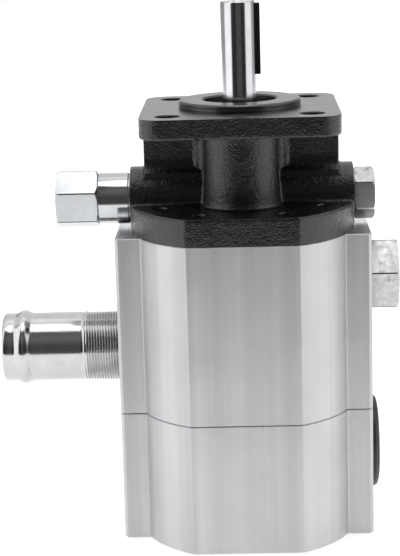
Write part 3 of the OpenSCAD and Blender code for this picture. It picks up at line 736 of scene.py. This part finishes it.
def make_plugs():
    # unloading valve: cap, barrel and seal
    hexplug("unloader_hex_cap", 19.5, 19.5, BY, CZ, (-69.5, -53.95),
            [(0, -69.5), (10.1, -69.5), (10.6, -69.35), (10.9, -69.0), (11.1, -68.4), (11.5, -67.4), (11.5, -55.0), (10.1, -53.95), (0, -53.95)],
            "unloader_cap", SATIN, holes=[[(0, -53), (7.05, -53), (7.05, -61), (6.2, -61), (6.2, -67.3), (0, -67.3)]], bev=0.35)
    o = lathe("plug", fillet([(3, -60.5), (6.5, -60.5), (7, -60), (7, -54), (9.2, -54, 0.1), (9.65, -53.5, 0.2), (9.65, -42.55, 0.15), (9.3, -42.2, 0.1), (9.3, -42), (7.9, -42), (7.9, -28.3),
                              (4.6, -28.3), (4.6, -46), (3, -46)], 3), "X", (0, BY, CZ), 144)
    done(o, "unloader_barrel", "housing", ["unloader_plug"], ZINC, 30)
    # right end of the cross-bore
    # only the upper long edges of this plug get the painted dark reflection
    hexplug("crossbore_hex_plug", 17.2, 32, BY, CZ, (42, 49.4),
            [(0, 42), (9.1, 42), (9.5, 42.2), (10.1, 42.9), (10.1, 48.1), (9.6, 48.9), (8.9, 49.4), (0, 49.4)],
            "crossbore_plug", DULL, extra=[[(0, 22), (3, 22), (3, 29), (6.85, 29), (6.85, 42.1), (0, 42.1)]], bev=0.4, keep=lambda c: c.z > CZ)
    # check valve plug
    hexplug("check_valve_hex_plug", 25.4, 12.6, MY, CHECK_Z, (47.5, 58.2),
            [(0, 47.5), (13.6, 47.5), (14.2, 47.8), (14.9, 48.6), (14.9, 56.9), (14.2, 57.7), (13.2, 58.2), (0, 58.2)],
            "check_valve_plug", PALE, extra=[[(0, 30), (9.45, 30), (9.45, 47.6), (0, 47.6)]],
            holes=[[(0, 29), (5.05, 29), (5.05, 50), (0, 50)]], bev=0.4)
    # black cap over the outlet port
    prof = fillet([(0, 48.6), (8.6, 48.6, 0.3), (8.6, 38.2), (8.9, 38, 0.1), (10.0, 38, 0.3), (10.3, 39, 0.3), (10.3, 47.4, 0.2), (17.0, 47.4, 0.35), (17.75, 47.9, 0.3), (17.75, 48.8, 0.4),
                   (16.9, 49.9, 0.6), (15.2, 50.35, 0.5), (14.4, 50.35, 0.2), (14.0, 50.05, 0.2), (12.9, 50.05, 0.2), (12.4, 50.4, 0.3), (0, 50.5)], 4)
    o = lathe("cap", prof, "X", (0, MY, OUTLET_Z), 160)
    done(o, "outlet_port_cap_moulded", "outlet_cap", ["outlet_port_cap"], PLASTIC, 30)
    # bolts: socket heads from below
    parts = []
    for x, y in BOLTS:
        b = lathe("b", fillet([(0, BASE + 1.15), (4.4, BASE + 1.15, 0.15), (4.76, BASE + 1.55, 0.1), (4.76, BASE + 7.5, 0.2), (3.5, BASE + 7.5, 0.2), (3.175, BASE + 7.9), (3.175, -39.3), (2.6, -38.7), (0, -38.7)], 2),
                  "Z", (x, y, 0), 72, lambda r, a, t: r + (0.07 * math.cos(36 * t) if BASE + 2 < a < BASE + 7.2 and r > 4.7 else 0))
        sock = prism("c", [(x + 2.8 * math.cos(math.radians(60 * k)), y + 2.8 * math.sin(math.radians(60 * k))) for k in range(6)], [(BASE, -0.25), (BASE + 1.1, -0.25), (BASE + 1.5, 0), (BASE + 4.4, 0), (BASE + 5.2, 1.6)])
        boolean(b, [sock])
        parts.append(b)
    o = parts[0]
    bm = bmesh.new()
    for p in parts:
        bm.from_mesh(p.data)
    bm.to_mesh(o.data)
    bm.free()
    for p in parts[1:]:
        bpy.data.objects.remove(p)
    done(o, "housing_bolts_socket", "housing", ["housing_bolts"], OXIDE, 30)


def make_inlet():
    pitch, t0, t1 = 1.03, -61.1, -45.6

    def rf(r, a, t):
        if r < 12.9 or a < t0 - 0.01 or a > t1 + 0.01:
            return r
        ph = (a / pitch - t / (2 * math.pi)) % 1
        v = abs(ph * 2 - 1)
        fade = min(1, (a - t0) / 1.2, (t1 - a) / 0.8)
        return 13.42 - 0.5 * (1 - v) * max(0, fade)
    outer = [(11.2, -91.9), (11.35, -92.3), (11.8, -92.5), (12.4, -92.5), (12.85, -92.3), (13.1, -91.9), (13.2, -91.2), (13.2, -89.6), (13.2, -88.4)]
    for i in range(0, 21):
        u = i / 20
        x = -87.9 + 6.4 * u
        s = math.sin(math.pi * u)
        outer.append((13.2 + 1.1 * s ** 1.25, x))
    outer += [(13.2, -81.2), (13.2, -79), (13.2, -71), (13.2, -62.5), (13.2, t0 - 0.2)]
    x = t0
    while x < t1:
        outer.append((13.42, x))
        x += pitch / 8
    outer += [(13.3, t1 + 0.1), (13.3, -34.2), (13.0, -34), (11.4, -34), (11.2, -34.2)]
    o = lathe("tube", outer, "X", (0, MY, INLET_Z), 144, rf)
    done(o, "inlet_hose_tube", "housing", ["inlet_tube"], TUBE, 50)


make_cover()
make_housings()
make_shaft()
make_seal()
make_plugs()
make_inlet()

# -------------------------------------------------------------------- stage
floor = new_obj("floor", [(-1600, -330, -162.3), (1600, -330, -162.3), (1600, 3200, -162.3), (-1600, 3200, -162.3)], [(0, 1, 2, 3)])
floor.data.transform(Matrix.Scale(0.001, 4))
floor.data.materials.append(floor_mat())


def area(name, loc, target, size, power, col=(1, 1, 1)):
    l = bpy.data.lights.new(name, "AREA")
    l.shape, l.size, l.size_y, l.energy, l.color = "RECTANGLE", size[0], size[1], power, col
    o = bpy.data.objects.new(name, l)
    scene.collection.objects.link(o)
    o.location = loc
    o.rotation_mode = "QUATERNION"
    o.rotation_quaternion = (Vector(target) - Vector(loc)).to_track_quat("-Z", "Y")
    return o


sun = bpy.data.lights.new("sky_soft", "SUN")
sun.energy, sun.angle = 0.46, math.radians(34)
so = bpy.data.objects.new("sky_soft", sun)
scene.collection.objects.link(so)
so.rotation_mode = "QUATERNION"
so.rotation_quaternion = Vector((-0.04, 0.18, -1.0)).to_track_quat("-Z", "Y")

world = bpy.data.worlds.new("studio")
scene.world = world
world.use_nodes = True
wt = world.node_tree
wt.nodes.clear()
W = wt.nodes.new


def wmath(op, a, b=None):
    n = W("ShaderNodeMath")
    n.operation = op
    for i, x in enumerate((a, b)):
        if x is None:
            continue
        if isinstance(x, (int, float)):
            n.inputs[i].default_value = x
        else:
            wt.links.new(x, n.inputs[i])
    return n.outputs[0]


def wstep(v, lo, hi):
    n = W("ShaderNodeMapRange")
    n.interpolation_type = "SMOOTHSTEP"
    n.inputs[1].default_value, n.inputs[2].default_value = lo, hi
    wt.links.new(v, n.inputs[0])
    return n.outputs[0]


def band(v, a, b, soft):
    return wmath("MULTIPLY", wstep(v, a - soft, a + soft), wmath("SUBTRACT", 1.0, wstep(v, b - soft, b + soft)))


tc = W("ShaderNodeTexCoord")
sep = W("ShaderNodeSeparateXYZ")
wt.links.new(tc.outputs["Generated"], sep.inputs[0])
dx, dy, dz = sep.outputs
elev = wmath("MULTIPLY", wmath("ARCSINE", dz), 180 / math.pi)
azi = wmath("MULTIPLY", wmath("ARCTAN2", dx, wmath("MULTIPLY", dy, -1.0)), 180 / math.pi)
absaz = wmath("ABSOLUTE", azi)
# grey room, dark towards the front, soft boxes left, right and overhead
front = wmath("MULTIPLY", wmath("SUBTRACT", 1.0, wstep(absaz, 43, 49)), band(elev, -17, 66, 3))
middle = band(azi, -13, 20, 3)
left = wmath("MULTIPLY", band(azi, -97, -46, 3), band(elev, -45, 70, 8))
right = wmath("MULTIPLY", band(azi, 49, 97, 3), band(elev, -45, 70, 8))
top = wstep(elev, 64, 70)
behind = wstep(absaz, 84, 96)
high = wmath("MULTIPLY", band(elev, 57, 78, 3), behind)
back = wmath("MAXIMUM", wmath("MULTIPLY", wstep(absaz, 100, 112), wstep(elev, 22, 34)), wmath("MULTIPLY", wstep(absaz, 150, 168), wstep(elev, -40, -30)))
val = wmath("ADD", 0.42, wmath("MULTIPLY", left, 1.05))
val = wmath("ADD", val, wmath("MULTIPLY", back, 0.55))
val = wmath("ADD", val, wmath("MULTIPLY", right, 0.85))
low = wmath("ADD", 0.03, wmath("ADD", wmath("MULTIPLY", middle, 0.06), wmath("MULTIPLY", band(elev, 26, 60, 14), 0.10)))
val = wmath("ADD", wmath("MULTIPLY", val, wmath("SUBTRACT", 1.0, front)), wmath("MULTIPLY", front, low))
val = wmath("MAXIMUM", val, wmath("MULTIPLY", top, 0.6))
val = wmath("MAXIMUM", val, wmath("MULTIPLY", high, 1.3))
lp = W("ShaderNodeLightPath")
cam_ray = lp.outputs["Is Camera Ray"]
bg1, bg2, mixs, outw = W("ShaderNodeBackground"), W("ShaderNodeBackground"), W("ShaderNodeMixShader"), W("ShaderNodeOutputWorld")
bg1.inputs[0].default_value = (0.985, 0.99, 1.0, 1)
wt.links.new(val, bg1.inputs[1])
bg2.inputs[0].default_value = (1, 1, 1, 1)
bg2.inputs[1].default_value = 1.0
wt.links.new(cam_ray, mixs.inputs[0])
wt.links.new(bg1.outputs[0], mixs.inputs[1])
wt.links.new(bg2.outputs[0], mixs.inputs[2])
wt.links.new(mixs.outputs[0], outw.inputs[0])

# ------------------------------------------------------------------- camera
cam = bpy.data.cameras.new("camera")
co = bpy.data.objects.new("camera", cam)
scene.collection.objects.link(co)
ya, pi_, ro = math.radians(-1.68), math.radians(12.619), math.radians(-1.637)
fw = Vector((math.sin(ya) * math.cos(pi_), math.cos(ya) * math.cos(pi_), -math.sin(pi_)))
rt = Vector((math.cos(ya), -math.sin(ya), 0))
up = rt.cross(fw)
rt2 = rt * math.cos(ro) + up * math.sin(ro)
up2 = -rt * math.sin(ro) + up * math.cos(ro)
M = Matrix((rt2, up2, -fw)).transposed().to_4x4()
M.translation = Vector((2.376, -636.162, 78.59)) / 1000
co.matrix_world = M
cam.sensor_width = 36
cam.sensor_fit = "AUTO"
cam.lens = 1751.2 / 556 * 36
cam.clip_start, cam.clip_end = 0.01, 50
scene.camera = co
scene.view_settings.view_transform = "Standard"
